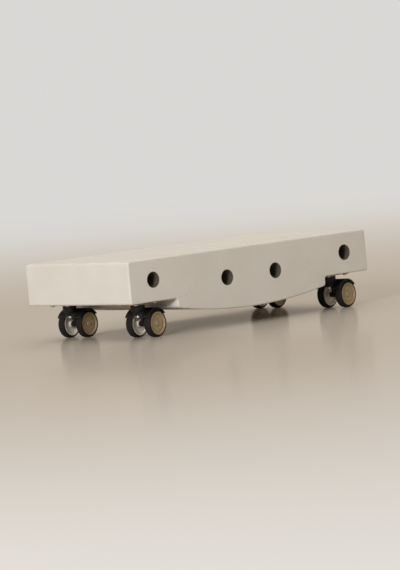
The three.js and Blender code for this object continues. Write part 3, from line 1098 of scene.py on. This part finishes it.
# Smooth union of two distances: the lesser one, rounded over a width where they are nearly equal
def joined(a, b, width):
    share = np.clip(0.5 + 0.5 * (b - a) / width, 0, 1)
    return b + (a - b) * share - width * share * (1 - share)


# Smooth overlap, and a cut is the overlap with the outside of what cuts
def overlapped(a, b, width):
    return -joined(-a, -b, width)


# The housing as a distance field: hood band, web between the wheels, flared neck and two bored
# bosses, joined with moulded fillets, then read back as quads where the distance is nought
def makeHousing():
    shape = housingShape
    voxel, room, rounding = shape["voxel"], shape["room"], shape["rounding"]
    low = np.array([-shape["neck"], -hoodHalfWidth, axleHeight - shape["axleBoss"]]) - room
    high = np.array([trail + hoodRadius, hoodHalfWidth + room, neckTop + room])
    counts = np.ceil((high - low) / voxel).astype(int)
    rows = [start + voxel * np.arange(count) for start, count in zip(low, counts)]
    x, y, z = np.meshgrid(*rows, indexing="ij", sparse=True)
    fromAxle = np.hypot(x - trail, z - axleHeight)
    fromPin = np.hypot(x, y)
    width = np.abs(y)
    rear, front = shape["hoodRear"], shape["hoodFront"]
    rearSide = (x - trail) * math.sin(rear) - (z - axleHeight) * math.cos(rear)
    frontSide = (z - axleHeight) * math.cos(front) - (x - trail) * math.sin(front)
    sector = np.maximum(rearSide, frontSide)
    wellRadius = hoodRadius - shape["hoodWall"]

    band = np.abs(fromAxle - hoodRadius + shape["hoodWall"] / 2) - shape["hoodWall"] / 2
    hood = overlapped(band, width - hoodHalfWidth, shape["hoodRounding"])
    hood = overlapped(hood, sector, shape["hoodRounding"])
    webEdge = np.maximum(fromAxle - wellRadius - rounding, sector)
    web = overlapped(width - shape["web"] / 2, webEdge, shape["webRounding"])
    body = joined(hood, web, shape["fillet"])
    bossBottom = neckTop - shape["pinBossLength"]
    body = overlapped(body, -np.maximum(fromPin - shape["pinBoss"], z - bossBottom), rounding)

    skirt = neckTop - shape["neckSkirt"]
    spread = shape["neck"] - shape["pinBoss"]
    rise = shape["neckFlare"]
    flare = ((fromPin - shape["pinBoss"]) * rise - (z - skirt) * spread) / math.hypot(spread, rise)
    neck = overlapped(fromPin - shape["neck"], flare, shape["neckRounding"])
    neck = np.maximum(neck, skirt - z)
    neck = overlapped(neck, -np.maximum(fromAxle - wellRadius, shape["web"] / 2 - width), rounding)
    pinBoss = overlapped(fromPin - shape["pinBoss"], bossBottom - z, rounding)
    bossEnd = width - wheelInner + shape["endGap"]
    axleBoss = overlapped(fromAxle - shape["axleBoss"], bossEnd, shape["boreRounding"])
    for part in (neck, pinBoss, axleBoss):
        body = joined(body, part, shape["fillet"])
    for bore in (shape["pinBore"] - fromPin, shape["axleBore"] - fromAxle):
        body = overlapped(body, bore, shape["boreRounding"])
    body = overlapped(body, z - neckTop, shape["topRounding"])

    grid = openvdb.FloatGrid(1.0)
    grid.copyFromArray(np.ascontiguousarray(body, np.float32))
    points, quads = grid.convertToQuads(isovalue=0)
    # the field's bend, the sum of its second slopes: positive on edges and negative in hollows
    slopes = np.gradient(body, voxel)
    bends = sum(np.gradient(slope, voxel, axis=i) for i, slope in enumerate(slopes))
    bend = bends[tuple(np.clip(np.round(points).astype(int).T, 0, (counts - 1)[:, None]))]
    mesh = bpy.data.meshes.new("housing")
    mesh.from_pydata((points * voxel + low) * mm, [], quads)
    worn = np.clip((bend - shape["wornFrom"]) / shape["wornBy"], 0, 1)
    dusty = np.clip((-bend - shape["dustyFrom"]) / shape["dustyBy"], 0, 1)
    masked(mesh, {"edge": worn, "zone": dusty})
    print("housing quads:", len(quads))
    return tidied(mesh, sharp=70)


screw = makeScrew()
swivelPin = makeSwivelPin()
retainingRing = makeRetainingRing()
thrustWasher = makeThrustWasher()
axle = makeAxle()
hub = makeHub()
tyre = makeTyre()
housing = makeHousing()
print("caster parts made")

for caster in casterNames:
    fixed = casterMatrix(caster, turned=False)
    turned = casterMatrix(caster)
    piece(f"{caster}_top_plate", topPlate, "black_steel", fixed)
    piece(f"{caster}_swivel_pin", swivelPin, "bright_steel", fixed)
    piece(f"{caster}_retaining_ring", retainingRing, "bright_steel", fixed)
    piece(f"{caster}_thrust_washer", thrustWasher, "nylon", fixed)
    for number, (x, y) in enumerate(screwPlaces, 1):
        turn = Matrix.Rotation(screwShape["turnEach"] * number, 4, "Z")
        stand = fixed @ Matrix.Translation((x * mm, y * mm, 0)) @ turn
        piece(f"{caster}_screw_{number}", screw, "bright_steel", stand, weighted=False)
    piece(f"{caster}_housing", housing, "black_plastic", turned, weighted=False)
    atAxle = turned @ Matrix.Translation((trail * mm, 0, axleHeight * mm))
    piece(f"{caster}_axle", axle, "bright_steel", atAxle)
    for side, halfTurn in wheelSides:
        wheel = atAxle @ Matrix.Rotation(halfTurn, 4, "Z")
        piece(f"{caster}_{side}_hub", hub, "tan_plastic", wheel)
        piece(f"{caster}_{side}_tyre", tyre, "tread", wheel)
print("casters placed")


stageLook = {
    "near": (0.510, 0.460, 0.405),
    "far": (0.700, 0.690, 0.675),
    "farFade": (0.6, 6.0),  # metres from the middle, as are the rings and lampDistance
    "rings": (0.01, 1, 40),
    "segments": 96,
    "gloss": 0.14,
    "glossTint": (0.92, 0.80, 0.68),
    "polish": 0.42,
    "density": 1.3,
    "skyLow": 0.0,
    "skyHigh": 0.90,
    "skyTint": (1.0, 0.94, 0.84),
    "lampDistance": 6.0,
}
lamps = {
    "key": {"power": 212.0, "size": 1.6, "from": (-0.86, -0.42, 0.28), "tint": (0.95, 0.98, 1.0)},
    "fill": {"power": 85.0, "size": 4.0, "from": (0.75, 0.60, 0.70), "tint": (1.0, 0.97, 0.93)},
}


# A wide round floor, matt with a share of polish. Far off it passes into the backdrop's own
# colour for the camera, and it is seen through from below.
def makeFloor():
    made = Finish("floor", Specular_IOR_Level=0, Roughness=1)
    distance = made.node("VectorMath", {"operation": "LENGTH"}, {0: made.place()}, output=1)
    far = made.between(distance, *stageLook["farFade"])
    made.feed("Base Color", made.blend(far, stageLook["near"], stageLook["far"]))
    tint = (*stageLook["glossTint"], 1)
    polish = made.node("BsdfGlossy", None, {"Roughness": stageLook["gloss"], "Color": tint})
    backdrop = made.node("Emission", None, {"Color": (*stageLook["far"], 1)})
    share = made.node("Fresnel", None, {"IOR": stageLook["density"]}) * stageLook["polish"]
    surface = made.node("MixShader", None, {0: share, 1: Signal(made, made.shader.outputs[0]), 2: polish})
    surface = made.node("MixShader", None, {0: far * made.node("LightPath"), 1: surface, 2: backdrop})
    clear = made.node("BsdfTransparent")
    below = made.node("NewGeometry", output=6)  # 1 on the back of a face
    made.show(made.node("MixShader", None, {0: below, 1: surface, 2: clear}), "Material Output")
    segments = stageLook["segments"]
    turn = np.linspace(0, 2 * math.pi, segments, endpoint=False)
    radius = np.array(stageLook["rings"])[:, None]
    rings = np.stack([radius * np.cos(turn), radius * np.sin(turn), 0 * radius * turn], -1)
    quads = gridQuads(*rings.shape[:2]).reshape(-1, 4)[:, ::-1]  # turned over, to face up
    mesh = bpy.data.meshes.new("floor")
    mesh.from_pydata(rings.reshape(-1, 3), [], [*quads.tolist(), list(range(segments))])
    mesh.materials.append(made.material)
    floor = bpy.data.objects.new("floor", mesh)
    bpy.context.scene.collection.objects.link(floor)


# A soft sky, brighter overhead, and the backdrop's colour where the camera or a gloss sees it
def makeLights():
    world = bpy.data.worlds.new("studio")
    world.use_nodes = True
    made = Nodes(world.node_tree)
    looked = made.node("TexCoord", output="Generated")
    height = made.node("SeparateXYZ", None, {0: looked}, output="Z")
    low, high = stageLook["skyLow"], stageLook["skyHigh"]
    strength = made.node("MapRange", None, {"Value": height, "To Min": low, "To Max": high})
    sky = made.node("Background", None, {"Color": (*stageLook["skyTint"], 1), "Strength": strength})
    backdrop = made.node("Background", None, {"Color": (*stageLook["far"], 1)})
    camera, gloss = [made.node("LightPath", output=f"Is {ray} Ray") for ray in ("Camera", "Glossy")]
    seen = camera.maths("MAXIMUM", camera, gloss)
    made.show(made.node("MixShader", None, {0: seen, 1: sky, 2: backdrop}), "World Output")
    bpy.context.scene.world = world

    for name, values in lamps.items():
        disk = bpy.data.lights.new(name, "AREA")
        disk.shape = "DISK"
        disk.size = values["size"]
        disk.energy = values["power"]
        disk.color = values["tint"]
        lamp = bpy.data.objects.new(name, disk)
        direction = Vector(values["from"]).normalized()
        lamp.location = direction * stageLook["lampDistance"]
        lamp.rotation_euler = direction.to_track_quat("Z", "Y").to_euler()
        bpy.context.scene.collection.objects.link(lamp)


cameraPlace = {
    "turn": math.radians(40.98),
    "rise": math.radians(3.68),
    "roll": math.radians(-5.17),
    "distance": 7.3,
    "lens": 246,
    "clipEnd": 100,
}


# The fitted camera: its right and up are turned about its line of sight by the roll
def makeCamera():
    turn, rise = cameraPlace["turn"], cameraPlace["rise"]
    forward = Vector((math.sin(turn) * math.cos(rise), math.cos(turn) * math.cos(rise), -math.sin(rise)))
    stand = (cadBox[0] + cadBox[1]) / 2 - forward * cameraPlace["distance"]
    right = forward.cross(Vector((0, 0, 1))).normalized()
    up = right.cross(forward)
    cos, sin = math.cos(cameraPlace["roll"]), math.sin(cameraPlace["roll"])
    axes = Matrix((right * cos + up * sin, up * cos - right * sin, -forward)).transposed()
    camera = bpy.data.objects.new("camera", bpy.data.cameras.new("camera"))
    camera.data.lens = cameraPlace["lens"]
    camera.data.clip_end = cameraPlace["clipEnd"]
    camera.matrix_world = Matrix.Translation(stand) @ axes.to_4x4()
    bpy.context.scene.collection.objects.link(camera)
    bpy.context.scene.camera = camera


makeFloor()
makeLights()
makeCamera()
bpy.context.scene.view_settings.view_transform = "Standard"
bpy.context.view_layer.update()
print("stage set")
